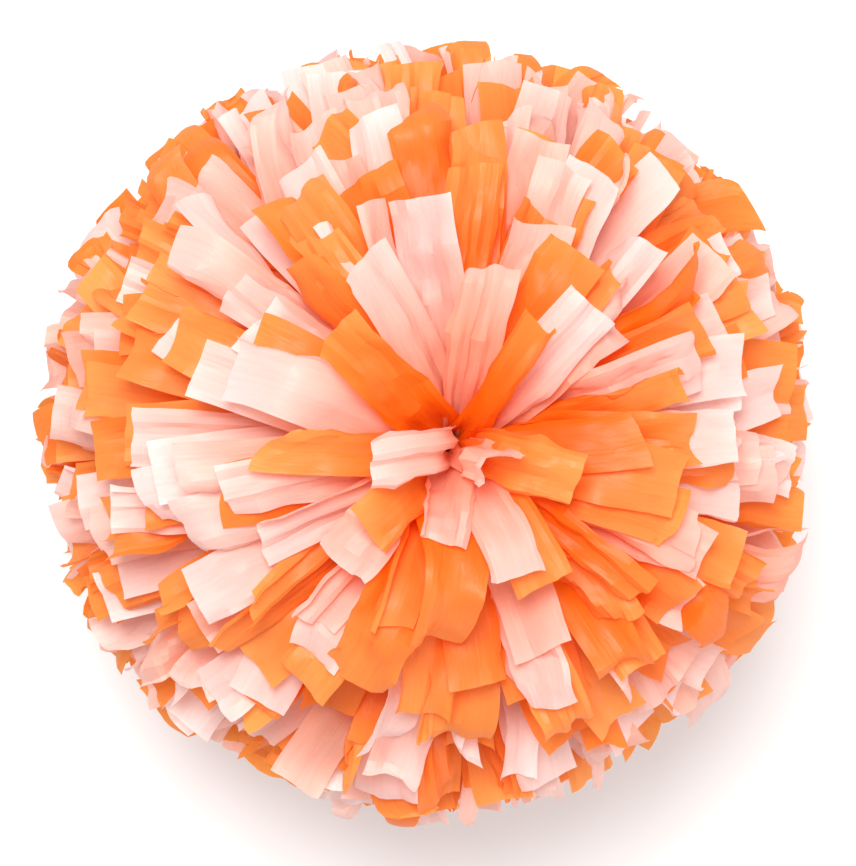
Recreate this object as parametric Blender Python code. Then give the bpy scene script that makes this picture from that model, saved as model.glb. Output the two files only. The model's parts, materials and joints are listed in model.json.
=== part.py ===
"""A cheer pom pom: two bursts of film strips gathered on the ends of a straight grip.

Units are metres and +Z is up. The pom stands on one burst with its grip upright, and the origin is the
middle of its footprint, on the surface that it stands on. The upper and the lower half are alike, so
each is laid out by its distance out from the grip's axis and its rise from the grip's middle.
"""

import math

import bmesh
import bpy
from mathutils import Matrix, Vector

# The ball of film
BALL_RADIUS = 0.125
MIDDLE_HEIGHT = 0.118  # of the grip's middle: the lower burst is pressed flat where it stands
BALL_DETAIL = 4

# Each half has one crown tuft on the axis and a ring of side tufts that swing on their roots
TUFTS_PER_HALF = 8
HALF_SECTOR = math.pi / TUFTS_PER_HALF
TUFT_GAP = 0.001  # from a side tuft to the plane between it and the next
ROOT_OUT, ROOT_RISE = 0.013, 0.055  # where a side tuft's film bends, beside the tie
SWING_TO_MIDDLE = math.radians(-6)
SWING_TO_POLE = math.radians(10)
TUFT_START_OUT = 0.017
UNDERSIDE_START_RISE = 0.053
UNDERSIDE_END_OUT, UNDERSIDE_END_RISE = 0.124, 0.0145
TOPSIDE_START_RISE = 0.060
TOPSIDE_FROM_AXIS = math.radians(42)
CROWN_BASE_RISE = 0.070
CROWN_FROM_AXIS = math.radians(32)
CROWN_SEGMENTS = 48

# The grip: a tube with a plug in each end
GRIP_RADIUS = 0.011
GRIP_WALL = 0.002
GRIP_HALF_LENGTH = 0.044
GRIP_EDGE = 0.0004
FIT_GAP = 0.0003  # between pieces that touch
PLUG_SHANK_LENGTH = 0.014
GUARD_RADIUS, GUARD_THICKNESS = 0.023, 0.003
POST_RADIUS, POST_LENGTH = 0.006, 0.016
KNOB_RADIUS, KNOB_HEIGHT = 0.009, 0.005
ROUND_SEGMENTS = 32

# The screws that hold each plug in the tube, two to a plug, on opposite sides
SCREW_BELOW_END = 0.007
SCREW_RADIUS, SCREW_TIP_OUT = 0.0015, 0.003
SCREW_HEAD_RADIUS, SCREW_HEAD_HEIGHT = 0.0028, 0.0018
SCREW_RECESS_WIDTH, SCREW_RECESS_LENGTH, SCREW_RECESS_DEPTH = 0.0007, 0.003, 0.0009

# The gathered film round each post, and the tie that holds it
PLEATS = 16
PLEAT_DEPTH = 0.0005
WEB_END_RADIUS, WEB_WAIST_RADIUS = 0.0126, 0.0099
TIE_THICKNESS, TIE_WIDTH = 0.0012, 0.0048
TIE_HEAD_OUT, TIE_HEAD_WIDTH, TIE_HEAD_HEIGHT = 0.0163, 0.0056, 0.0062
TIE_TAIL_LENGTH, TIE_TAIL_WIDTH = 0.0022, 0.0034

CUTTER_MARGIN = 0.002


def clear_scene():
    for existing in list(bpy.data.objects):
        bpy.data.objects.remove(existing, do_unlink=True)


def make_material(name, colour, roughness, metallic=0.0):
    made = bpy.data.materials.new(name)
    made.use_nodes = True
    shader = made.node_tree.nodes["Principled BSDF"]
    shader.inputs["Base Color"].default_value = (*colour, 1.0)
    shader.inputs["Roughness"].default_value = roughness
    shader.inputs["Metallic"].default_value = metallic
    return made


def add_empty(name):
    empty = bpy.data.objects.new(name, None)
    bpy.context.scene.collection.objects.link(empty)
    return empty


def add_object(name, mesh, finish, parent=None):
    """An object of the mesh, with its own copy of the finish."""
    added = bpy.data.objects.new(name, mesh)
    bpy.context.scene.collection.objects.link(added)
    added.parent = parent
    if not mesh.materials:
        mesh.materials.append(None)
    added.material_slots[0].link = "OBJECT"
    added.material_slots[0].material = finish.copy()
    added.material_slots[0].material.name = name + "_" + finish.name
    return added


def mesh_from(name, shape, smooth_below=math.radians(35)):
    """A mesh from a bmesh, shaded smooth except at its sharp edges."""
    bmesh.ops.recalc_face_normals(shape, faces=shape.faces)
    mesh = bpy.data.meshes.new(name)
    shape.to_mesh(mesh)
    shape.free()
    mesh.shade_smooth()
    mesh.set_sharp_from_angle(angle=smooth_below)
    return mesh


def turn(outline, segments):
    """A bmesh solid turned round Z from a closed outline of (out, rise) points."""
    shape = bmesh.new()
    points = [shape.verts.new((out, 0, rise)) for out, rise in outline]
    edges = [shape.edges.new((a, b)) for a, b in zip(points, points[1:] + points[:1]) if a.co.x or b.co.x]
    bmesh.ops.spin(
        shape, geom=points + edges, cent=(0, 0, 0), axis=(0, 0, 1), angle=math.tau, steps=segments
    )
    bmesh.ops.remove_doubles(shape, verts=shape.verts, dist=1e-6)
    return shape


def cut_away(shape, point, outward):
    """Cuts off what lies beyond a plane, and closes the cut."""
    everything = list(shape.verts) + list(shape.edges) + list(shape.faces)
    cut = bmesh.ops.bisect_plane(
        shape, geom=everything, plane_co=point, plane_no=outward, clear_outer=True, dist=1e-7
    )
    rim = [element for element in cut["geom_cut"] if isinstance(element, bmesh.types.BMEdge)]
    if rim:
        bmesh.ops.edgeloop_fill(shape, edges=rim)


def box(low, high):
    shape = bmesh.new()
    size = Vector(high) - Vector(low)
    placed = Matrix.Translation((Vector(high) + Vector(low)) / 2) @ Matrix.Diagonal((*size, 1.0))
    bmesh.ops.create_cube(shape, size=1.0, matrix=placed)
    return shape


def rod(radius, start, end, segments=16):
    """A closed cylinder between two points."""
    start, end = Vector(start), Vector(end)
    along = end - start
    facing = along.to_track_quat("Z", "Y").to_matrix().to_4x4()
    shape = bmesh.new()
    bmesh.ops.create_cone(
        shape,
        cap_ends=True,
        segments=segments,
        radius1=radius,
        radius2=radius,
        depth=along.length,
        matrix=Matrix.Translation((start + end) / 2) @ facing,
    )
    return shape


def add_tool(name, shape, parent):
    """A hidden solid that a Boolean uses, which is no part of the pom."""
    tool = bpy.data.objects.new(name, mesh_from(name, shape))
    bpy.context.scene.collection.objects.link(tool)
    tool.parent = parent
    tool.hide_render = True
    tool.display_type = "WIRE"
    return tool


def boolean(target, tool, operation):
    modifier = target.modifiers.new(tool.name, "BOOLEAN")
    modifier.operation = operation
    modifier.solver = "EXACT"
    modifier.object = tool


# --- The grip, which is fixed ---------------------------------------------------------------------


def grip_tube(parent, finish):
    """A straight extruded tube with eased ends and a clearance hole for each screw."""
    inner, outer, end, ease = GRIP_RADIUS - GRIP_WALL, GRIP_RADIUS, GRIP_HALF_LENGTH, GRIP_EDGE
    outline = [
        (inner, end - ease),
        (inner + ease, end),
        (outer - ease, end),
        (outer, end - ease),
        (outer, ease - end),
        (outer - ease, -end),
        (inner + ease, -end),
        (inner, ease - end),
    ]
    tube = add_object("grip_tube", mesh_from("grip_tube", turn(outline, ROUND_SEGMENTS)), finish, parent)
    reach = GRIP_RADIUS + CUTTER_MARGIN
    for end_name, rise in (("upper", screw_rise()), ("lower", -screw_rise())):
        hole = rod(SCREW_RADIUS + FIT_GAP, (-reach, 0, rise), (reach, 0, rise))
        boolean(tube, add_tool(f"{end_name}_tube_screw_holes", hole, parent), "DIFFERENCE")
    return tube


def screw_rise():
    return GRIP_HALF_LENGTH - SCREW_BELOW_END


def end_plug_mesh():
    """The moulded plug of one end, turned about Z: shank, hand guard, post and retaining knob."""
    shank = GRIP_RADIUS - GRIP_WALL - FIT_GAP
    shank_start = GRIP_HALF_LENGTH - PLUG_SHANK_LENGTH
    guard_low = GRIP_HALF_LENGTH + FIT_GAP
    guard_high = guard_low + GUARD_THICKNESS
    post_end = guard_high + POST_LENGTH
    round_off = GUARD_THICKNESS / 3
    knob_profile = [
        (KNOB_RADIUS * math.cos(angle), post_end + KNOB_HEIGHT * (0.25 + 0.75 * math.sin(angle)))
        for angle in (math.radians(step) for step in (0, 30, 60))
    ]
    outline = [
        (0, shank_start),
        (shank - GRIP_EDGE, shank_start),
        (shank, shank_start + GRIP_EDGE),
        (shank, guard_low),
        (GUARD_RADIUS - round_off, guard_low),
        (GUARD_RADIUS, guard_low + round_off),
        (GUARD_RADIUS, guard_high - round_off),
        (GUARD_RADIUS - round_off, guard_high),
        (POST_RADIUS, guard_high),
        (POST_RADIUS, post_end),
        (KNOB_RADIUS, post_end),
        *knob_profile,
        (0, post_end + KNOB_HEIGHT),
    ]
    return mesh_from("end_plug", turn(outline, ROUND_SEGMENTS))


def end_plug(half_name, half, mesh, finish):
    plug = add_object(f"{half_name}_end_plug", mesh, finish, half)
    reach = GRIP_RADIUS
    hole = rod(SCREW_RADIUS + FIT_GAP, (-reach, 0, screw_rise()), (reach, 0, screw_rise()))
    boolean(plug, add_tool(f"{half_name}_plug_screw_hole", hole, half), "DIFFERENCE")
    return plug


def screw_mesh():
    """A pan-head screw along Z, its head's underside at 0 and its shank below."""
    length = GRIP_RADIUS + FIT_GAP - SCREW_TIP_OUT
    point = SCREW_RADIUS * 0.6
    outline = [
        (0, -length),
        (SCREW_RADIUS - point, -length),
        (SCREW_RADIUS, point - length),
        (SCREW_RADIUS, 0),
        (SCREW_HEAD_RADIUS, 0),
        (SCREW_HEAD_RADIUS, SCREW_HEAD_HEIGHT * 0.45),
        (SCREW_HEAD_RADIUS * 0.8, SCREW_HEAD_HEIGHT * 0.85),
        (SCREW_HEAD_RADIUS * 0.4, SCREW_HEAD_HEIGHT),
        (0, SCREW_HEAD_HEIGHT),
    ]
    return mesh_from("plug_screw", turn(outline, 16))


def plug_screw(name, half, side, mesh, finish):
    """One screw, through the tube's wall on the +X (side 1) or -X (side -1) side."""
    screw = add_object(name, mesh, finish, half)
    screw.location = (side * (GRIP_RADIUS + FIT_GAP), 0, screw_rise())
    screw.rotation_euler = (0, side * math.pi / 2, 0)
    low, high = SCREW_HEAD_HEIGHT - SCREW_RECESS_DEPTH, SCREW_HEAD_HEIGHT + CUTTER_MARGIN
    wide, narrow = SCREW_RECESS_LENGTH / 2, SCREW_RECESS_WIDTH / 2
    for slot_name, x, y in (("slot", wide, narrow), ("cross", narrow, wide)):
        recess = add_tool(f"{name}_{slot_name}", box((-x, -y, low), (x, y, high)), half)
        recess.location, recess.rotation_euler = screw.location, screw.rotation_euler
        boolean(screw, recess, "DIFFERENCE")
    return screw


# --- The film ------------------------------------------------------------------------------------


def gathered_web(half_name, half, finish):
    """The film's uncut middle, pleated round the post and drawn in at its waist by the tie."""
    low = GRIP_HALF_LENGTH + GUARD_THICKNESS + 2 * FIT_GAP
    high = low + POST_LENGTH - 2 * FIT_GAP
    waist = (low + high) / 2
    rings = 9
    around = PLEATS * 4
    shape = bmesh.new()
    outer, inner = [], []
    for ring in range(rings):
        rise = low + (high - low) * ring / (rings - 1)
        flare = max(0.0, abs(rise - waist) - TIE_WIDTH / 2) / ((high - low - TIE_WIDTH) / 2)
        radius = WEB_WAIST_RADIUS + (WEB_END_RADIUS - WEB_WAIST_RADIUS) * flare**1.5
        circle = []
        for step in range(around):
            angle = math.tau * step / around
            out = radius - PLEAT_DEPTH * (0.5 - 0.5 * math.cos(PLEATS * angle)) * (0.3 + 0.7 * flare)
            circle.append(shape.verts.new((out * math.cos(angle), out * math.sin(angle), rise)))
        outer.append(circle)
    bore = POST_RADIUS + FIT_GAP
    for rise in (high, low):
        turns = [math.tau * step / around for step in range(around)]
        inner.append([shape.verts.new((bore * math.cos(a), bore * math.sin(a), rise)) for a in turns])
    loops = outer + inner
    for first, second in zip(loops, loops[1:] + loops[:1]):
        for step in range(around):
            following = (step + 1) % around
            shape.faces.new((first[step], first[following], second[following], second[step]))
    return add_object(f"{half_name}_gathered_web", mesh_from("gathered_web", shape), finish, half)


def cable_tie(half_name, half, finish):
    """A nylon tie round the web's waist, with its head and cut tail between two side tufts."""
    middle = GRIP_HALF_LENGTH + GUARD_THICKNESS + FIT_GAP + POST_LENGTH / 2
    inner = WEB_WAIST_RADIUS + FIT_GAP
    outer = inner + TIE_THICKNESS
    low, high = middle - TIE_WIDTH / 2, middle + TIE_WIDTH / 2
    band = turn([(inner, low), (outer, low), (outer, high), (inner, high)], ROUND_SEGMENTS)
    tie = add_object(f"{half_name}_cable_tie", mesh_from("cable_tie", band), finish, half)
    tie.rotation_euler = (0, 0, HALF_SECTOR)
    head = box(
        (outer - TIE_THICKNESS / 2, -TIE_HEAD_WIDTH / 2, middle - TIE_HEAD_HEIGHT / 2),
        (TIE_HEAD_OUT, TIE_HEAD_WIDTH / 2, middle + TIE_HEAD_HEIGHT / 2),
    )
    bmesh.ops.bevel(head, geom=head.edges, offset=0.0005, segments=1, affect="EDGES")
    tail = box(
        (outer + TIE_THICKNESS / 2, -TIE_HEAD_WIDTH / 2 - TIE_TAIL_LENGTH, middle - TIE_TAIL_WIDTH / 2),
        (outer + TIE_THICKNESS * 1.5, 0, middle + TIE_TAIL_WIDTH / 2),
    )
    for tool_name, shape in (("head", head), ("tail", tail)):
        tool = add_tool(f"{half_name}_tie_{tool_name}", shape, half)
        tool.rotation_euler = tie.rotation_euler
        boolean(tie, tool, "UNION")
    return tie


def crown_tuft(half_name, half, finish, flat_rise):
    """The film round the axis: a cone of strips from the knob out to the ball, cut flat at flat_rise."""
    slope = math.tan(CROWN_FROM_AXIS)
    base = (CROWN_BASE_RISE - ROOT_RISE) * slope
    # the cone's side leaves the axis at ROOT_RISE and meets the ball this far along itself
    along = ROOT_RISE * math.cos(CROWN_FROM_AXIS)
    side = math.sqrt(along**2 + BALL_RADIUS**2 - ROOT_RISE**2) - along
    edge_out = side * math.sin(CROWN_FROM_AXIS)
    edge_rise = ROOT_RISE + side * math.cos(CROWN_FROM_AXIS)
    outline = [(0, CROWN_BASE_RISE), (base, CROWN_BASE_RISE)]
    if edge_rise > flat_rise:
        outline += [((flat_rise - ROOT_RISE) * slope, flat_rise), (0, flat_rise)]
    else:
        edge_angle = math.atan2(edge_out, edge_rise)
        caps = 5
        angles = [edge_angle * (1 - step / caps) for step in range(caps + 1)]
        outline += [(BALL_RADIUS * math.sin(a), BALL_RADIUS * math.cos(a)) for a in angles]
    return add_object(f"{half_name}_crown_tuft", mesh_from("crown", turn(outline, CROWN_SEGMENTS)), finish, half)


def side_tuft_mesh():
    """The film of one sector, with the hinge axis along Y through 0 and the strips running out along +X.

    It is what the ball leaves between its underside, its top side and its two sector sides. The sector
    sides are cut again as they stand at each end of the swing, so that no tuft reaches its neighbour.
    """
    root = Vector((ROOT_OUT, 0, ROOT_RISE))
    shape = bmesh.new()
    bmesh.ops.create_icosphere(
        shape, subdivisions=BALL_DETAIL, radius=BALL_RADIUS, matrix=Matrix.Translation(-root)
    )
    cut_away(shape, Vector((TUFT_START_OUT, 0, 0)) - root, Vector((-1, 0, 0)))
    underside = Vector((TUFT_START_OUT, 0, UNDERSIDE_START_RISE))
    fall = Vector((UNDERSIDE_END_OUT, 0, UNDERSIDE_END_RISE)) - underside
    cut_away(shape, underside - root, Vector((fall.z, 0, -fall.x)).normalized())
    topside = Vector((TUFT_START_OUT, 0, TOPSIDE_START_RISE))
    cut_away(
        shape, topside - root, Vector((-math.cos(TOPSIDE_FROM_AXIS), 0, math.sin(TOPSIDE_FROM_AXIS)))
    )
    for swing in (0.0, SWING_TO_MIDDLE, SWING_TO_POLE):
        back = Matrix.Rotation(swing, 3, "Y")
        for side in (1, -1):
            outward = Vector((-math.sin(HALF_SECTOR), side * math.cos(HALF_SECTOR), 0))
            cut_away(shape, back @ (-root - outward * TUFT_GAP), back @ outward)
    return mesh_from("side_tuft", shape)


def side_tuft(half_name, half, number, mesh, finish):
    """One side tuft on its root, in the frame of its half."""
    azimuth = 2 * HALF_SECTOR * (number - 1)
    tuft = add_object(f"{half_name}_side_tuft_{number}", mesh, finish, half)
    tuft.location = (ROOT_OUT * math.cos(azimuth), ROOT_OUT * math.sin(azimuth), ROOT_RISE)
    tuft.rotation_euler = (0, 0, azimuth)
    return tuft


def build():
    clear_scene()
    orange_film = make_material("orange_film", (1.0, 0.26, 0.045), 0.4)
    white_film = make_material("white_film", (0.93, 0.9, 0.9), 0.4)
    white_plastic = make_material("white_plastic", (0.86, 0.86, 0.85), 0.35)
    nylon = make_material("nylon", (0.8, 0.8, 0.76), 0.5)
    zinc_steel = make_material("zinc_steel", (0.62, 0.62, 0.6), 0.35, metallic=1.0)

    middle = add_empty("grip_middle")
    middle.location = (0, 0, MIDDLE_HEIGHT)
    grip_tube(middle, white_plastic)

    screw, tuft = screw_mesh(), side_tuft_mesh()
    for half_name, turned_over, flat_rise in (("upper", 0, BALL_RADIUS), ("lower", math.pi, MIDDLE_HEIGHT)):
        half = add_empty(f"{half_name}_half")
        half.parent = middle
        half.rotation_euler = (turned_over, 0, 0)
        end_plug(half_name, half, end_plug_mesh(), white_plastic)
        plug_screw(f"{half_name}_plug_screw_a", half, 1, screw, zinc_steel)
        plug_screw(f"{half_name}_plug_screw_b", half, -1, screw, zinc_steel)
        gathered_web(half_name, half, white_film)
        cable_tie(half_name, half, nylon)
        crown_tuft(half_name, half, white_film if turned_over else orange_film, flat_rise)
        for number in range(1, TUFTS_PER_HALF + 1):
            side_tuft(half_name, half, number, tuft, orange_film if number % 2 else white_film)
    bpy.context.view_layer.update()


build()
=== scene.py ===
"""Looks of the cheer pom pom: loose film strips round the grip, the gathered webs, and every finish.

The strips are worked out in millimetres in the frame of one half: the first axis runs out from the grip,
the third rises from the grip's middle towards that half's pole. The lower half is the same, turned over.
"""
import json
import math

import bpy
import numpy as np
from mathutils import Matrix, Vector


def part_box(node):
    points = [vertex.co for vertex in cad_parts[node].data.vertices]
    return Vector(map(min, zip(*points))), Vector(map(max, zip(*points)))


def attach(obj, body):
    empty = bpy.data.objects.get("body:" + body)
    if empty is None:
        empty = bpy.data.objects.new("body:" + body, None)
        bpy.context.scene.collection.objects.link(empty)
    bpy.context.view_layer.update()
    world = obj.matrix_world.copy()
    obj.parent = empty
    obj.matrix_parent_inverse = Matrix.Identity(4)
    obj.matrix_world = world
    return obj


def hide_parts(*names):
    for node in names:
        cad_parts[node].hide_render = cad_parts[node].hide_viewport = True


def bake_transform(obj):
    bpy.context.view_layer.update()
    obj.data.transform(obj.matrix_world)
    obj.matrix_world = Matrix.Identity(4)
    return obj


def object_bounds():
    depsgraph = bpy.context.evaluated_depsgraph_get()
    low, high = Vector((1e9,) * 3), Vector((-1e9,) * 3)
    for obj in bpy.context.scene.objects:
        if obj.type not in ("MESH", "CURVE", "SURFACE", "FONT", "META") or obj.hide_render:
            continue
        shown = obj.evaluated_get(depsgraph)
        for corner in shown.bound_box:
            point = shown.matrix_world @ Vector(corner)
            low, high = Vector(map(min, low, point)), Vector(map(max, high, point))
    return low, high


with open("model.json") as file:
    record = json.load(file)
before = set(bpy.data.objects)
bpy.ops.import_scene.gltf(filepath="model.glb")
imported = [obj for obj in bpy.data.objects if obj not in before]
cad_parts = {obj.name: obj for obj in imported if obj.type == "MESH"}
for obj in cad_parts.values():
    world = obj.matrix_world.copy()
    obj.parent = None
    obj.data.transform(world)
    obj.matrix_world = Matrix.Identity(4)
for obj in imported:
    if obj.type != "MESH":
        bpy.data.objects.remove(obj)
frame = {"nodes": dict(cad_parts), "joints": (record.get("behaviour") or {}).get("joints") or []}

cad_low, cad_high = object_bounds()

MM = 0.001

# Places that the frame gives
grip_low, grip_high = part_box("grip_tube")
MIDDLE = (grip_low + grip_high) / 2
BALL_RADIUS = (cad_high.z - MIDDLE.z) / MM
FLOOR_RISE = MIDDLE.z / MM  # from the middle down to what the pom stands on
web_low, web_high = (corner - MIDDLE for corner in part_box("upper_gathered_web"))
KNOB_TOP = (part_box("upper_end_plug")[1].z - MIDDLE.z) / MM
TUFTS_PER_HALF = sum(1 for joint in frame["joints"] if joint["name"].startswith("upper"))
ROOT = next(joint for joint in frame["joints"] if joint["name"] == "upper_side_tuft_1_root")["pos_m"]
ROOT_OUT, ROOT_RISE = ROOT[0] / MM, (ROOT[2] - MIDDLE.z) / MM

# The strips, in millimetres and degrees
STRIP_WIDTH = 20.0
OUTER_STRIPS = 430  # in each half, behind the front ones
ALONG, ACROSS = 36, 10  # faces along and across one strip
CROWN_EDGE = 24.0  # strips whose tips are nearer the pole than this belong to the crown tuft
FIRST_TIP, LAST_TIP = 33.0, 95.0  # how far round from the pole the tips of the outer strips go
TIP_SCATTER, SECTOR_SCATTER = 2.5, 6.0  # of the outer strips' tips, away from the pole and round it
GOLDEN_ANGLE = 180 * (3 - math.sqrt(5))  # from each outer strip to the next, round the pole
CROWDING = 0.7  # below 1, the outer strips' tips come closer together towards the ball's middle
LONGEST, SHORTER, UNEVEN = 0.985, 0.085, 0.012  # the tips' distance from the middle, in ball radii
MOSTLY_LONG = 1.3  # above 1, most tips are near the longest
UPPER_SEED, LOWER_SEED = 11, 23
LOWER_TURN = 200  # degrees that the lower half's front strips, mirrored, are turned from the upper half's

# How a strip runs from its root to its tip, in degrees and in shares of its length
POLE_BEND, LESS_BEND = 92.0, 84.0  # of a strip near the pole, and how much less it bends at the middle
BEND_SPREAD = (0.75, 1.2)  # of the usual bend, from strip to strip
STRAIGHTER_WITHIN = 15.0  # of the pole, strips bend less
LATE_BEND = (1.0, 1.9)  # above 1, more of a bend comes near the tip
OUT_CREASE, SIDE_CREASE = 18.0, 12.0  # usual bend of a crease, outwards and sideways
OUT_CREASES, SIDE_CREASES = 3, 2  # at most, in one strip
CREASE_PLACES, CREASE_CHANCE = (0.3, 0.95), 0.6  # along the strip, and of each crease
SWAY, TIP_CURL = 13.0, 60.0  # usual lean of a strip to one side, and usual curl of its tip
CURLED_TIPS, CURL_FROM = 0.35, 0.88  # share of the strips with a curled tip, and where the curl begins
POLE_SWAY = 0.35  # of the usual lean, for strips near the pole
SWAY_FROM, SWAY_OVER = 45.0, 20.0  # from the pole, where strips begin to lean more, and over how much
POLE_TWIST, MORE_TWIST = 8.0, 42.0  # usual twist near the pole, and how much more at the ball's middle
TIP_TWIST = 18.0  # usual twist that is added by the tip
TWISTED_BY = 0.5  # of its length, a strip has most of its twist

# How a strip is folded across its width, in degrees, millimetres and shares of its half width
PLEATED_SHARE = (0.6, 1.0)  # of a strip's length, over which it opens out of its pleats
PLEATS, TWO_FOLDS = 2, 0.75  # waves across a strip, where it is pleated and where its end has two folds
PLEAT_TURN = 81.0  # of the film in a closed pleat
FLAT_SIDED = 3.5  # how much flatter a pleat's sides are than a wave's
ONE_FOLD_BELOW, TWO_FOLDS_BELOW = 0.4, 0.7  # of a draw from 0 to 1; the ends above keep their pleats
ONE_FOLD_WITHIN, ONE_FOLD_WIDTH = 0.4, 0.08  # of the strip's middle line
END_FOLD, FOLD_SCATTER, MORE_FOLD = 28.0, 16.0, 16.0  # of the outer strips' ends; more at the ball's middle
END_CURL, CURLED_EDGE = 55.0, 0.6  # of a strip's edges, where they curl most, and where the curl begins
LARGE_DENT, SMALL_DENT = 1.0, 0.36  # usual depth of the crinkles
LARGE_NET, SMALL_NET = (12, 4), (26, 8)  # their points along and across a strip
CRINKLED = (0.5, 1.4)  # of the usual depth, from strip to strip
CUT_SLOPE, CUT_ROUGHNESS = 0.07, 0.07  # of the cut end: out of square as a share of its width, and in mm
FINE_FOLD = 24.0  # folds sharper than this show as a crease
UV_SPACING = 53.0  # from one strip's place in the pattern of the film to the next

# Where the strips leave the grip, in millimetres
HELD_ROWS = 4  # of each strip's net, inside the tie
ROOT_DEPTH, ROOT_SCATTER = 1.8, 1.2  # of the strips' roots inside the gathered web
ROOT_FALL = (0.2, 0.9)  # of the way from the web's top to its middle, for the lowest strips' roots
LIFT_OFF = 4.0  # of a strip from its root, before it turns out
KNOB_CLEARANCE, KNOB_DOME = 9.9, 3.0  # out from the axis, and the height of the rounded top
PAST_KNOB_OUT, PAST_KNOB_RISE = 0.8, 0.4  # more, where strips pass the knob's edge
NECK_RISE, NECK_DIP = 77.0, 6.0  # where the innermost strips meet above the knob, and its fall outwards
NECK_SPACING = 0.95  # between the innermost strips there

# How the strips lie on each other, in millimetres
CENTRE_LINE_POINTS = 61
LAYER_GAP = 1.4  # kept between two strips that lie on each other
CELL_DEPTH = 3.0  # of the cells that strips are put in order in
SPREAD_KEPT = 0.8  # of a folded strip's own depth in a cell, which counts as its thickness
ORDER_STEPS = 25  # to settle the strips' heights in each cell
FREE_FROM, FREE_BY = 20.0, 34.0  # out from the gather, where strips begin to move and where they are free
STRETCH_PULL, SQUEEZE_PULL = 0.24, 0.08  # share of an edge's error that one step takes away
FILM_LIFT = 0.6  # of the lowest film above the floor
FLOOR_PRESS = 7.0  # depth of film that the floor presses flat
TOP_ROOM = 3.0  # above the ball's top, that the upper half's film stays below
EASE_FROM, EASE_LIMIT = 0.985, 1.035  # film beyond the first is drawn in to below the second, in ball radii

# The front strips of the upper half: which way each points, how far its tip is from the pole, its film,
# and how sharply its end is folded
ORANGE, WHITE = 0, 1
FRONT_STRIPS = [
    (350, 5, WHITE, 72), (187, 13, WHITE, 74), (340, 17, ORANGE, 40), (256, 17, WHITE, 60),
    (292, 19, WHITE, 55), (60, 21, ORANGE, 60), (226, 18, ORANGE, 30), (310, 23, ORANGE, 40),
    (226, 26, WHITE, 46), (84, 27, WHITE, 72), (140, 24, ORANGE, 40), (357, 30, ORANGE, 24),
    (47, 31, WHITE, 48), (112, 31, WHITE, 26), (62, 33, ORANGE, 22), (180, 33, ORANGE, 20),
    (131, 36, ORANGE, 18), (38, 35, WHITE, 50), (270, 31, ORANGE, 36), (342, 38, ORANGE, 32),
    (296, 37, WHITE, 38), (151, 37, ORANGE, 22), (209, 36, WHITE, 40), (245, 37, ORANGE, 32),
    (97, 40, WHITE, 24), (166, 42, WHITE, 34), (233, 40, WHITE, 56), (192, 38, ORANGE, 20),
    (2, 43, WHITE, 34), (327, 47, WHITE, 44), (348, 50, WHITE, 50), (81, 52, ORANGE, 14),
    (12, 55, ORANGE, 28), (65, 54, WHITE, 48), (187, 53, WHITE, 44), (159, 53, WHITE, 36),
    (265, 50, WHITE, 32), (30, 48, ORANGE, 36), (92, 60, WHITE, 16), (120, 50, ORANGE, 28),
    (315, 40, ORANGE, 28), (22, 42, WHITE, 44),
]


# --- Materials -----------------------------------------------------------------------------------


def srgb(hex_colour):
    """A linear RGBA colour from an sRGB hex value."""
    parts = [int(hex_colour[i : i + 2], 16) / 255 for i in (1, 3, 5)]
    return (*(c / 12.92 if c <= 0.04045 else ((c + 0.055) / 1.055) ** 2.4 for c in parts), 1.0)


def add_node(tree, kind, inputs=None, **settings):
    """A new node with its settings; an input given a socket is linked to it, and any other is set."""
    node = tree.nodes.new(kind)
    for name, value in settings.items():
        setattr(node, name, value)
    for socket, value in (inputs or {}).items():
        if isinstance(value, bpy.types.NodeSocket):
            tree.links.new(value, node.inputs[socket])
        else:
            node.inputs[socket].default_value = value
    return node


def new_material(name):
    made = bpy.data.materials.new(name)
    made.use_nodes = True
    made.node_tree.nodes.clear()
    return made, made.node_tree


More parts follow.
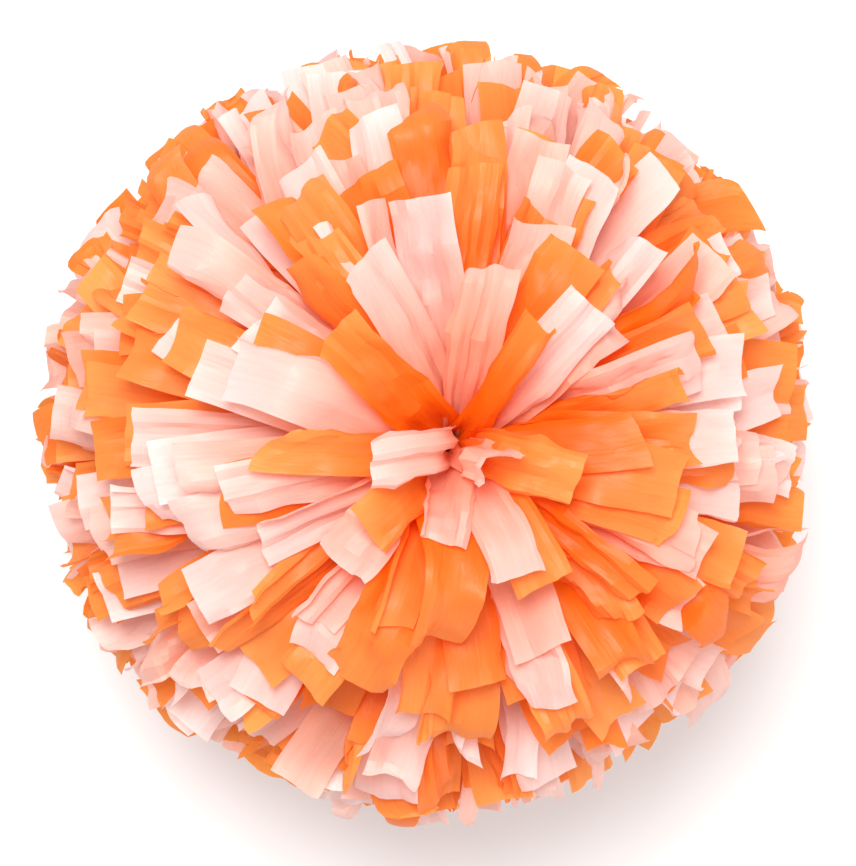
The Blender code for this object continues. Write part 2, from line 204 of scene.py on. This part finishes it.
def pe_film(name, pale, deep, through):
    """Blown polyethylene film, 0.033 mm: satin, with fine draw lines along the strip and soft crinkles.

    Light scatters through it, so it is part translucent. pale and deep bound its colour: each strip takes a
    random tone between them, and painted shade draws the colour towards deep near the root.
    """
    made, tree = new_material(name)
    uv = add_node(tree, "ShaderNodeUVMap", uv_map="film").outputs["UV"]
    tone = add_node(tree, "ShaderNodeAttribute", attribute_name="strip_tone").outputs["Fac"]
    # draw lines 1.5 mm apart that run 40 mm along the film; real ones are finer, but wouldn't show
    lines_scale = (1 / (1.5 * MM), 1 / (40 * MM), 1)
    lines_at = add_node(tree, "ShaderNodeMapping", {"Vector": uv, "Scale": lines_scale})
    lines = add_node(
        tree, "ShaderNodeTexNoise", {"Vector": lines_at.outputs["Vector"], "Scale": 1.0, "Detail": 2.0}
    ).outputs["Fac"]
    # soft crinkles about 4 mm wide and 12 mm long
    crinkle_scale = (1 / (4 * MM), 1 / (12 * MM), 1)
    crinkle_at = add_node(tree, "ShaderNodeMapping", {"Vector": uv, "Scale": crinkle_scale})
    crinkles = add_node(
        tree,
        "ShaderNodeTexNoise",
        {"Vector": crinkle_at.outputs["Vector"], "Scale": 1.0, "Detail": 3.0, "Distortion": 0.6},
    ).outputs["Fac"]
    reach = add_node(tree, "ShaderNodeAttribute", attribute_name="strip_reach").outputs["Fac"]
    # painted shade: towards the root the colour goes deeper and warmer, for the shade and bounced orange
    # light in the crevices by the grip
    gathered = add_node(
        tree,
        "ShaderNodeMapRange",
        {"Value": reach, "From Min": 0.4, "From Max": 1.0, "To Min": 0.75, "To Max": 0.0},
    ).outputs["Result"]
    lines_and_painted_shade = add_node(
        tree, "ShaderNodeMath", {0: lines, 1: 0.3, 2: gathered}, operation="MULTIPLY_ADD"
    ).outputs[0]
    # each strip's random tone, plus its draw lines and the painted shade towards the root
    colour = add_node(
        tree, "ShaderNodeMath", {0: tone, 1: 0.55, 2: lines_and_painted_shade}, operation="MULTIPLY_ADD", use_clamp=True
    ).outputs[0]
    base = add_node(
        tree, "ShaderNodeMix", {0: colour, 6: srgb(pale), 7: srgb(deep)}, data_type="RGBA"
    ).outputs[2]
    satin = add_node(
        tree, "ShaderNodeMapRange", {"Value": crinkles, "To Min": 0.36, "To Max": 0.56}
    ).outputs["Result"]
    fine = add_node(
        tree, "ShaderNodeBump", {"Height": lines, "Strength": 0.5, "Distance": 0.3 * MM}
    ).outputs["Normal"]
    relief = add_node(
        tree, "ShaderNodeBump", {"Height": crinkles, "Strength": 0.6, "Distance": 0.7 * MM, "Normal": fine}
    ).outputs["Normal"]
    front = add_node(
        tree,
        "ShaderNodeBsdfPrincipled",
        {"Base Color": base, "Roughness": satin, "IOR": 1.51, "Normal": relief},
    ).outputs["BSDF"]
    behind = add_node(tree, "ShaderNodeBsdfTranslucent", {"Color": base, "Normal": relief}).outputs["BSDF"]
    both = add_node(tree, "ShaderNodeMixShader", {0: through, 1: front, 2: behind}).outputs["Shader"]
    add_node(tree, "ShaderNodeOutputMaterial", {"Surface": both})
    return made


def moulded_polypropylene(name, colour, grain_mm, stretch=1.0):
    """Injection-moulded or extruded polypropylene: a soft sheen over a fine grain.

    stretch above 1 draws the grain out along the grip, as extrusion leaves it.
    """
    made, tree = new_material(name)
    place = add_node(tree, "ShaderNodeTexCoord").outputs["Object"]
    scale = 1 / (grain_mm * MM)
    grain_scale = (scale, scale, scale / stretch)
    grain_at = add_node(tree, "ShaderNodeMapping", {"Vector": place, "Scale": grain_scale})
    grain = add_node(
        tree, "ShaderNodeTexNoise", {"Vector": grain_at.outputs["Vector"], "Scale": 1.0, "Detail": 3.0}
    ).outputs["Fac"]
    rough = add_node(
        tree, "ShaderNodeMapRange", {"Value": grain, "To Min": 0.28, "To Max": 0.46}
    ).outputs["Result"]
    relief = add_node(
        tree, "ShaderNodeBump", {"Height": grain, "Strength": 0.3, "Distance": 0.05 * MM}
    ).outputs["Normal"]
    skin = add_node(
        tree,
        "ShaderNodeBsdfPrincipled",
        {"Base Color": srgb(colour), "Roughness": rough, "IOR": 1.49, "Normal": relief},
    ).outputs["BSDF"]
    add_node(tree, "ShaderNodeOutputMaterial", {"Surface": skin})
    return made


def zinc_plated_steel(name):
    """Zinc-plated steel: a bright metal with a faintly clouded, slightly rough plating."""
    made, tree = new_material(name)
    place = add_node(tree, "ShaderNodeTexCoord").outputs["Object"]
    clouds = add_node(
        tree, "ShaderNodeTexNoise", {"Vector": place, "Scale": 1 / (1.2 * MM), "Detail": 4.0}
    ).outputs["Fac"]
    rough = add_node(
        tree, "ShaderNodeMapRange", {"Value": clouds, "To Min": 0.22, "To Max": 0.42}
    ).outputs["Result"]
    plating = add_node(
        tree,
        "ShaderNodeBsdfPrincipled",
        {"Base Color": srgb("#C3C6C8"), "Metallic": 1.0, "Roughness": rough},
    ).outputs["BSDF"]
    add_node(tree, "ShaderNodeOutputMaterial", {"Surface": plating})
    return made


# --- Film strips ---------------------------------------------------------------------------------


def smooth(x):
    x = np.clip(x, 0, 1)
    return x * x * (3 - 2 * x)


def running_sum(steps):
    """Sums along the strip that start from 0."""
    return np.concatenate([np.zeros_like(steps[:, :1]), np.cumsum(steps, axis=1)], axis=1)


def between(values):
    return (values[:, 1:] + values[:, :-1]) / 2


def creases(rng, count, share, most, typical, width):
    """Bends across each strip, up to this many, as a turn in degrees at each point along it.

    typical is a bend's usual size in degrees, and width its length as a share of the strip's.
    """
    turn = np.zeros_like(share)
    for _ in range(most):
        at = rng.uniform(*CREASE_PLACES, (count, 1))
        size = rng.normal(0, typical, (count, 1)) * (rng.random((count, 1)) < CREASE_CHANCE)
        turn += size * smooth((share - at) / width + 0.5)
    return turn


def folded(rng, count, share, open_share, tip_fold):
    """How each strip's width turns from flat, in degrees, at each point along and across.

    It leaves the tie in tight pleats that open out. It ends with one fold, with two or with its pleats, and
    with curled edges.
    """
    across = np.linspace(-1, 1, ACROSS + 1)[None, None, :]
    phase = rng.uniform(0, 2, (count, 1, 1))
    pleats = np.clip(FLAT_SIDED * np.sin(math.pi * (PLEATS * across + phase)), -1, 1)
    opened = smooth(share / open_share)[:, :, None]
    crease_at = rng.uniform(-ONE_FOLD_WITHIN, ONE_FOLD_WITHIN, (count, 1, 1))
    side = np.where(rng.random((count, 1, 1)) < 0.7, 1.0, -1.0)
    single = np.clip((across - crease_at) / ONE_FOLD_WIDTH, -1, 1) * side
    double = np.clip(FLAT_SIDED * np.sin(math.pi * (across * TWO_FOLDS + phase)), -1, 1)
    kind = rng.random((count, 1, 1))
    last = np.where(kind < ONE_FOLD_BELOW, single, np.where(kind < TWO_FOLDS_BELOW, double, pleats))
    edge = np.clip((np.abs(across) - CURLED_EDGE) / (1 - CURLED_EDGE), 0, 1)
    which = rng.choice([-1.0, 0.0, 1.0], (count, 1, 1), p=[0.35, 0.3, 0.35])
    on_edge = np.where(which == 0, 1.0, (across * which > 0).astype(float))
    curl = rng.normal(0, END_CURL, (count, 1, 1)) * edge * on_edge * np.sign(across)
    fade = 1 - 0.3 * share[:, :, None]
    return PLEAT_TURN * (1 - opened) * pleats + opened * (tip_fold * last * fade + curl)


def crumple(rng, count, rows, columns, height):
    """Random dents on a coarse net over each strip, straight between the net's points."""
    net = rng.normal(0, height, (count, rows, columns))
    down = np.linspace(0, rows - 1, ALONG + 1)
    over = np.linspace(0, columns - 1, ACROSS + 1)
    row = np.minimum(down.astype(int), rows - 2)
    column = np.minimum(over.astype(int), columns - 2)
    part_down = (down - row)[None, :, None]
    part_over = (over - column)[None, None, :]
    upper = net[:, row][:, :, column] * (1 - part_over) + net[:, row][:, :, column + 1] * part_over
    lower = net[:, row + 1][:, :, column] * (1 - part_over) + net[:, row + 1][:, :, column + 1] * part_over
    return upper * (1 - part_down) + lower * part_down


def unit(vectors):
    return vectors / np.maximum(np.linalg.norm(vectors, axis=-1, keepdims=True), 1e-9)


def surface_normals(points):
    return unit(np.cross(np.gradient(points, axis=1), np.gradient(points, axis=2)))


def strip_tips(rng, front):
    """Tip angle, azimuth, film and end fold of every strip, from the pole outwards.

    The outer strips' tips cover the ball evenly, a little closer together towards its middle.
    """
    azimuth, angle, film, fold = (np.array(column, float) for column in zip(*front))
    count = OUTER_STRIPS
    order = (np.arange(count) + 0.5) / count
    high, low = math.cos(math.radians(FIRST_TIP)), math.cos(math.radians(LAST_TIP))
    outer_angle = np.degrees(np.arccos(high + (low - high) * order**CROWDING))
    outer_angle += rng.normal(0, TIP_SCATTER, count)
    outer_azimuth = GOLDEN_ANGLE * np.arange(count) + rng.normal(0, SECTOR_SCATTER, count)
    angle = np.concatenate([angle, outer_angle])
    azimuth = np.concatenate([azimuth, outer_azimuth]) % 360
    film = np.concatenate([film, rng.permutation(count) % 2]).astype(int)
    outer_fold = np.abs(rng.normal(END_FOLD, FOLD_SCATTER, count))
    outer_fold += MORE_FOLD * np.clip(outer_angle / 90, 0, 1)
    fold = np.concatenate([fold, outer_fold])
    sort = np.argsort(angle)
    return angle[sort], azimuth[sort], film[sort], fold[sort]


def centre_lines(rng, tip_angle):
    """The middle line of each strip in its own upright plane: up past the knob, in over it, then out.

    Also gives each strip's length.
    """
    count = len(tip_angle)
    outward = np.clip(tip_angle / 90, 0, 1)
    reach = LONGEST - SHORTER * rng.random(count) ** MOSTLY_LONG + UNEVEN * rng.normal(0, 1, count)
    reach = BALL_RADIUS * reach
    tip_out, tip_rise = reach * np.sin(np.radians(tip_angle)), reach * np.cos(np.radians(tip_angle))

    web_top, web_middle = web_high.z / MM, (web_low.z + web_high.z) / 2 / MM
    root_out = np.full(count, web_high.x / MM - ROOT_DEPTH) - ROOT_SCATTER * rng.random(count)
    root_rise = web_top - (web_top - web_middle) * outward * rng.uniform(*ROOT_FALL, count)
    neck_out = NECK_SPACING * np.sqrt(np.arange(count) + 0.3)
    necked = neck_out < KNOB_CLEARANCE
    above_knob = NECK_RISE - NECK_DIP * (neck_out / KNOB_CLEARANCE) ** 2
    neck_rise = np.where(necked, above_knob, root_rise + LIFT_OFF)
    neck_out = np.where(necked, neck_out, root_out + LIFT_OFF * outward)

    # the slope from the axis bends outward and down as it goes, and some tips curl
    share = np.linspace(0, 1, CENTRE_LINE_POINTS)[None, :].repeat(count, 0)
    bend = (POLE_BEND - LESS_BEND * outward**0.8) * rng.uniform(*BEND_SPREAD, count)
    bend *= smooth(tip_angle / STRAIGHTER_WITHIN)
    late = rng.uniform(*LATE_BEND, (count, 1))
    slope = bend[:, None] * share**late + creases(rng, count, share, OUT_CREASES, OUT_CREASE, 0.03)
    curled = rng.normal(0, TIP_CURL, (count, 1)) * (rng.random((count, 1)) < CURLED_TIPS)
    slope += curled * smooth((share - CURL_FROM) / (1 - CURL_FROM))
    # it also leans to one side, least near the pole
    sway = rng.normal(0, SWAY, (count, 1)) * share
    sway += creases(rng, count, share, SIDE_CREASES, SIDE_CREASE, 0.06)
    sway *= POLE_SWAY + (1 - POLE_SWAY) * smooth((tip_angle[:, None] - SWAY_FROM) / SWAY_OVER)
    level = np.cos(np.radians(between(sway)))
    step_out = np.sin(np.radians(between(slope))) * level
    step_rise = np.cos(np.radians(between(slope))) * level
    # turned and scaled so that it ends at its tip
    chord_out, chord_rise = step_out.sum(1), step_rise.sum(1)
    wanted_out, wanted_rise = tip_out - neck_out, tip_rise - neck_rise
    step = np.hypot(wanted_out, wanted_rise) / np.hypot(chord_out, chord_rise)
    turn = np.degrees(np.arctan2(wanted_out, wanted_rise) - np.arctan2(chord_out, chord_rise))
    slope, step = np.radians(slope + turn[:, None]), step[:, None]
    arc = np.stack(
        [
            neck_out[:, None] + running_sum(np.sin(between(slope)) * level * step),
            running_sum(np.sin(np.radians(between(sway))) * step),
            neck_rise[:, None] + running_sum(np.cos(between(slope)) * level * step),
        ],
        axis=-1,
    )
    # the part below it, past the knob's edge
    past_out = np.where(necked, KNOB_CLEARANCE + PAST_KNOB_OUT, (root_out + neck_out) / 2)
    past_rise = np.where(necked, KNOB_TOP + PAST_KNOB_RISE, (root_rise + neck_rise) / 2)
    lead_out, lead_rise = np.stack([root_out, past_out], 1), np.stack([root_rise, past_rise], 1)
    lead = np.stack([lead_out, np.zeros_like(lead_out), lead_rise], axis=-1)
    # the whole line again, in even steps and a little rounded
    rough = np.concatenate([lead, arc], axis=1)
    lines, lengths = [], []
    for one in rough:
        gone = np.concatenate([[0], np.cumsum(np.linalg.norm(np.diff(one, axis=0), axis=1))])
        at = np.linspace(0, gone[-1], ALONG + 1)
        lines.append(np.stack([np.interp(at, gone, one[:, axis]) for axis in range(3)], axis=1))
        lengths.append(gone[-1])
    lines = np.array(lines)
    for _ in range(2):
        lines[:, 1:-1] = (lines[:, :-2] + 2 * lines[:, 1:-1] + lines[:, 2:]) / 4
    return lines, np.array(lengths)


def film_links(points):
    """Pairs of neighbours in each strip's net that the film keeps apart: along, across and slantwise."""
    return [
        (points[:, :-1], points[:, 1:]),
        (points[:, :, :-1], points[:, :, 1:]),
        (points[:, :-1, :-1], points[:, 1:, 1:]),
        (points[:, :-1, 1:], points[:, 1:, :-1]),
    ]


def link_lengths(points):
    return [np.linalg.norm(end - start, axis=-1, keepdims=True) for start, end in film_links(points)]


def keep_lengths(points, lengths, rounds):
    """Brings stretched and squeezed film back to its lengths, with the rows in the tie held still."""
    held = points[:, :HELD_ROWS].copy()
    for _ in range(rounds):
        for (start, end), length in zip(film_links(points), lengths):
            step = end - start
            over = 1 - length / np.maximum(np.linalg.norm(step, axis=-1, keepdims=True), 1e-6)
            pull = np.where(over > 0, STRETCH_PULL, SQUEEZE_PULL) * step * np.maximum(over, -1)
            start += pull
            end -= pull
        points[:, :HELD_ROWS] = held


def evened(values, passes):
    """Values smoothed along and across each strip, up to its edges."""
    for _ in range(passes):
        for axis in (1, 2):
            widths = [(1, 1) if number == axis else (0, 0) for number in range(values.ndim)]
            near = np.moveaxis(np.pad(values, widths, mode="edge"), axis, 0)
            values = np.moveaxis((near[:-2] + 2 * near[1:-1] + near[2:]) / 4, 0, axis)
    return values


def part_layers(points, lengths, rounds, sectors):
    """Parts strips that pass through each other, so that each lies on the outer side of the ones before it.

    The order is looked at in cells of one depth out from the gather, with this many sectors round the
    pole, and put right by small turns away from or towards the pole. After each round the film goes back
    to its lengths.
    """
    count = len(points)
    designed = points.copy()
    centre = np.array([0, 0, ROOT_RISE])
    for _ in range(rounds):
        offset = points - centre
        far = np.linalg.norm(offset, axis=-1)
        polar = np.arccos(np.clip(offset[..., 2] / np.maximum(far, 1e-6), -1, 1))
        around = np.arctan2(offset[..., 1], offset[..., 0])
        sector = ((around / math.tau + 0.5) * (sectors - 0.01)).astype(int)
        cell = (far / CELL_DEPTH).astype(int) * sectors + sector
        key = cell * count + np.arange(count)[:, None, None]
        keys, where = np.unique(key, return_inverse=True)
        where = where.ravel()
        number = np.bincount(where)
        mean = np.bincount(where, polar.ravel()) / number
        spread = np.sqrt(np.maximum(np.bincount(where, polar.ravel() ** 2) / number - mean**2, 0))
        distance = np.bincount(where, far.ravel()) / number
        same = keys[1:] // count == keys[:-1] // count
        gap = LAYER_GAP / distance[1:] + SPREAD_KEPT * (spread[1:] + spread[:-1])
        height = mean.copy()
        for _ in range(ORDER_STEPS):
            short = np.where(same, np.maximum(gap - np.diff(height), 0), 0) * 0.5
            height[:-1] -= short / 2
            height[1:] += short / 2
        free = smooth((far - FREE_FROM) / (FREE_BY - FREE_FROM))
        shift = (height - mean)[where].reshape(far.shape) * free
        shift = evened(shift, passes=4)
        sine, cosine = np.sin(polar), np.cos(polar)
        turn = np.stack([cosine * np.cos(around), cosine * np.sin(around), -sine], axis=-1)
        moved = points - designed + (far * shift)[..., None] * turn
        points[:] = designed + evened(moved, passes=2)
        keep_lengths(points, lengths, rounds=3)


def half_of_strips(rng, front):
    """Every strip of one half: points (strip, along, across, xyz), lengths, tip angles, azimuths, films."""
    tip_angle, azimuth, film, tip_fold = strip_tips(rng, front)
    line, length = centre_lines(rng, tip_angle)
    count = len(line)
    outward = np.clip(tip_angle / 90, 0, 1)
    share = np.linspace(0, 1, ALONG + 1)[None, :].repeat(count, 0)
    along = unit(np.gradient(line, axis=1))
    sideways = unit(np.array([0, 1, 0]) - along[..., 1:2] * along)
    facing = np.cross(along, -sideways)
    facing = np.where(facing[..., 2:3].mean(axis=1, keepdims=True) < 0, -facing, facing)
    # a strip is twisted by its lower half, and a little more towards its tip
    twist = rng.normal(0, 1, (count, 1)) * (POLE_TWIST + MORE_TWIST * outward[:, None])
    twist = twist * smooth(share / TWISTED_BY) + rng.normal(0, TIP_TWIST, (count, 1)) * share
    twist = np.radians(twist)[:, :, None]
    sideways, facing = (
        np.cos(twist) * sideways + np.sin(twist) * facing,
        np.cos(twist) * facing - np.sin(twist) * sideways,
    )

    open_share = rng.uniform(*PLEATED_SHARE, (count, 1))
    fold = np.radians(folded(rng, count, share, open_share, tip_fold[:, None, None]))
    piece = STRIP_WIDTH / ACROSS
    centre = (fold[:, :, 1:] + fold[:, :, :-1]) / 2
    start = np.zeros_like(fold[:, :, :1])
    wide = np.concatenate([start, np.cumsum(np.cos(centre) * piece, axis=2)], axis=2)
    deep = np.concatenate([start, np.cumsum(np.sin(centre) * piece, axis=2)], axis=2)
    wide -= wide[:, :, [ACROSS // 2]]
    deep -= deep.mean(axis=2, keepdims=True)
    points = line[:, :, None] + wide[..., None] * sideways[:, :, None]
    points += deep[..., None] * facing[:, :, None]

    # the cut end is a little out of square, over the last tenth of the strip
    cut = rng.normal(0, CUT_SLOPE, (count, 1)) * np.linspace(-1, 1, ACROSS + 1) * STRIP_WIDTH / 2
    cut += rng.normal(0, CUT_ROUGHNESS, (count, ACROSS + 1))
    ends = smooth((share - 0.9) / 0.1)
    points += ends[:, :, None, None] * cut[:, None, :, None] * along[:, :, None]

    turned = np.radians(azimuth)[:, None, None]
    out, aside = points[..., 0].copy(), points[..., 1].copy()
    points[..., 0] = out * np.cos(turned) - aside * np.sin(turned)
    points[..., 1] = out * np.sin(turned) + aside * np.cos(turned)
    part_layers(points, link_lengths(points), rounds=10, sectors=120)

    # crinkles, which fade out in the tight pleats
    amount = rng.uniform(*CRINKLED, (count, 1, 1)) * smooth(share / open_share)[:, :, None]
    dents = crumple(rng, count, *LARGE_NET, LARGE_DENT) + crumple(rng, count, *SMALL_NET, SMALL_DENT)
    points += surface_normals(points) * (dents * amount)[..., None]
    part_layers(points, link_lengths(points), rounds=6, sectors=200)
    return points, length, tip_angle, azimuth, film


def clear_of_knob(points):
    """Moves film that would lie in the retaining knob out to its side, or over its rounded top."""
    out = np.hypot(points[..., 0], points[..., 1])
    above = np.clip((points[..., 2] - KNOB_TOP) / KNOB_DOME, 0, 1)
    wanted = np.maximum(out, KNOB_CLEARANCE * np.sqrt(1 - above**2))
    points[..., :2] *= (wanted / np.maximum(out, 1e-6))[..., None]


def inside_the_ball(points, flat_rise):
    """Draws in film beyond the ball, and presses flat what would pass flat_rise."""
    far = np.linalg.norm(points, axis=-1, keepdims=True)
    soft = BALL_RADIUS * EASE_FROM
    limit = BALL_RADIUS * EASE_LIMIT - soft
    eased = np.where(far > soft, soft + limit * (1 - np.exp(-(far - soft) / limit)), far)
    points *= eased / far
    start = flat_rise - FLOOR_PRESS
    over = points[..., 2] - start
    pressed = start + FLOOR_PRESS * (1 - np.exp(-over / FLOOR_PRESS))
    points[..., 2] = np.where(over > 0, pressed, points[..., 2])


def film_mesh(name, points, lengths, tones):
    """One mesh of separate strips, with a UV map in metres of flat film.

    Each strip has a tone of its own, and each point its share of the way from the root to the tip.
    """
    count = len(points)
    rows, columns = ALONG + 1, ACROSS + 1
    places = points.reshape(-1, 3) * MM
    corner = np.arange(count * rows * columns).reshape(count, rows, columns)
    faces = np.stack(
        [corner[:, :-1, :-1], corner[:, :-1, 1:], corner[:, 1:, 1:], corner[:, 1:, :-1]], axis=-1
    ).reshape(-1, 4)
    mesh = bpy.data.meshes.new(name)
    mesh.from_pydata(places.tolist(), [], faces.tolist())
    across = np.linspace(0, STRIP_WIDTH, columns)[None, None, :].repeat(count, 0).repeat(rows, 1)
    across = across + (np.arange(count) * UV_SPACING)[:, None, None]
    down = np.linspace(0, 1, rows)[None, :, None] * lengths[:, None, None].repeat(columns, 2)
    flat = np.stack([across, down], axis=-1).reshape(-1, 2) * MM
    layer = mesh.uv_layers.new(name="film")
    layer.data.foreach_set("uv", flat[faces.reshape(-1)].astype(np.float32).ravel())
    reach = mesh.attributes.new("strip_reach", "FLOAT", "POINT")
    shares = np.linspace(0, 1, rows).repeat(columns)
    reach.data.foreach_set("value", np.tile(shares, count).astype(np.float32))
    tone = mesh.attributes.new("strip_tone", "FLOAT", "POINT")
    tone.data.foreach_set("value", tones.repeat(rows * columns).astype(np.float32))
    mesh.validate()
    mesh.shade_smooth()
    mesh.set_sharp_from_angle(angle=math.radians(FINE_FOLD))
    return mesh


def add_film_piece(name, mesh, material):
    piece = bpy.data.objects.new(name, mesh)
    bpy.context.scene.collection.objects.link(piece)
    mesh.materials.append(material)
    return piece


def to_frame(points, half_name):
    """From the half's own frame, centred on the grip, to the shared one, which starts on the floor."""
    flip = np.array([1, -1, -1]) if half_name == "lower" else np.array([1, 1, 1])
    return points * flip + np.array([0, 0, MIDDLE.z / MM])


def bend_at_root(piece):
    """Bakes the piece's placement into its mesh."""
    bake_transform(piece)


def add_half(half_name, seed, front, flat_rise, films):
    """The strips of one half, sorted into its crown tuft and side tufts, one piece for each colour."""
    rng = np.random.default_rng(seed)
    points, length, tip_angle, azimuth, film = half_of_strips(rng, front)
    clear_of_knob(points)
    inside_the_ball(points, flat_rise)
    tones = rng.random(len(points))
    number = np.rint(azimuth / (360 / TUFTS_PER_HALF)).astype(int) % TUFTS_PER_HALF + 1
    number[tip_angle < CROWN_EDGE] = 0
    for tuft in range(TUFTS_PER_HALF + 1):
        node = f"{half_name}_side_tuft_{tuft}" if tuft else f"{half_name}_crown_tuft"
        for index, (colour_name, material) in enumerate(films):
            chosen = (number == tuft) & (film == index)
            lengths = length[chosen]
            name = f"{node}_{colour_name}_strips"
            mesh = film_mesh(name, to_frame(points[chosen], half_name), lengths, tones[chosen])
            piece = add_film_piece(name, mesh, material)
            if tuft:
                bend_at_root(piece)
            else:
                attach(piece, "handle")
            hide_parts(node)


# --- Studio --------------------------------------------------------------------------------------


def area_light(name, place, size, power, colour="#FFFFFF"):
    light = bpy.data.lights.new(name, "AREA")
    light.shape = "DISK"
    light.size = size
    light.energy = power
    light.color = srgb(colour)[:3]
    lamp = bpy.data.objects.new(name, light)
    bpy.context.scene.collection.objects.link(lamp)
    lamp.location = place
    lamp.rotation_mode = "QUATERNION"
    lamp.rotation_quaternion = (MIDDLE - Vector(place)).to_track_quat("-Z", "Y")
    return lamp


def studio():
    """A plain white floor under soft light from above, as for a catalogue picture."""
    bpy.ops.object.select_all(action="DESELECT")
    bpy.ops.mesh.primitive_plane_add(size=12)
    floor = bpy.context.object
    floor.name = "studio_floor"
    made, tree = new_material("white_studio_floor")
    paint = add_node(
        tree, "ShaderNodeBsdfPrincipled", {"Base Color": srgb("#F4F3F2"), "Roughness": 0.9}
    ).outputs["BSDF"]
    add_node(tree, "ShaderNodeOutputMaterial", {"Surface": paint})
    floor.data.materials.append(made)
    scene = bpy.context.scene
    scene.world = bpy.data.worlds.new("white_room")
    scene.world.use_nodes = True
    scene.world.node_tree.nodes["Background"].inputs["Color"].default_value = srgb("#FFFFFF")
    scene.world.node_tree.nodes["Background"].inputs["Strength"].default_value = 0.7
    area_light("overhead_softbox", (-0.26, 0.52, 1.65), 0.7, 26)
    area_light("side_softbox", (1.3, -0.9, 0.8), 1.2, 8)
    scene.cycles.diffuse_bounces = 8
    scene.view_settings.view_transform = "Standard"
    scene.view_settings.look = "None"


def add_camera():
    """Over the upper burst, leaning a little off the grip's axis, through a long lens."""
    camera = bpy.data.cameras.new("camera")
    camera.lens = 128
    camera.sensor_width = 36
    placed = bpy.data.objects.new("camera", camera)
    bpy.context.scene.collection.objects.link(placed)
    back = Vector((-0.09, 0.045, 1.0)).normalized()
    right = Vector((0, 1, 0)).cross(back).normalized()
    up = back.cross(right)
    placed.matrix_world = Matrix.Translation(MIDDLE + back * 1.0) @ Matrix(
        (right, up, back)
    ).transposed().to_4x4()
    bpy.context.scene.camera = placed


# --- The pom -------------------------------------------------------------------------------------

# deep is the tone of some whole strips at random, and the painted shade near the roots; the white film's
# painted shade is peach, for orange light bounced off the orange film
orange_film = pe_film("orange_pe_film", "#FFB662", "#FC7A0A", 0.48)
white_film = pe_film("white_pe_film", "#FEF9F9", "#FBB799", 0.48)
films = [("orange", orange_film), ("white", white_film)]
add_half("upper", UPPER_SEED, FRONT_STRIPS, BALL_RADIUS + TOP_ROOM, films)
turned_over = [(LOWER_TURN - azimuth, *others) for azimuth, *others in FRONT_STRIPS]
add_half("lower", LOWER_SEED, turned_over, FLOOR_RISE - FILM_LIFT, films)

extruded = moulded_polypropylene("white_extruded_polypropylene", "#ECEBE6", 0.5, stretch=20)
moulded = moulded_polypropylene("white_moulded_polypropylene", "#EFEEEA", 0.4)
nylon = moulded_polypropylene("natural_nylon", "#E4E0D2", 0.6)
steel = zinc_plated_steel("zinc_plated_steel")
finishes = {
    "grip_tube": extruded,
    "end_plug": moulded,
    "cable_tie": nylon,
    "screw": steel,
    "web": white_film,
}
for node_name, node in frame["nodes"].items():
    for part_name, finish in finishes.items():
        if part_name in node_name:
            node.material_slots[0].material = finish

studio()
add_camera()
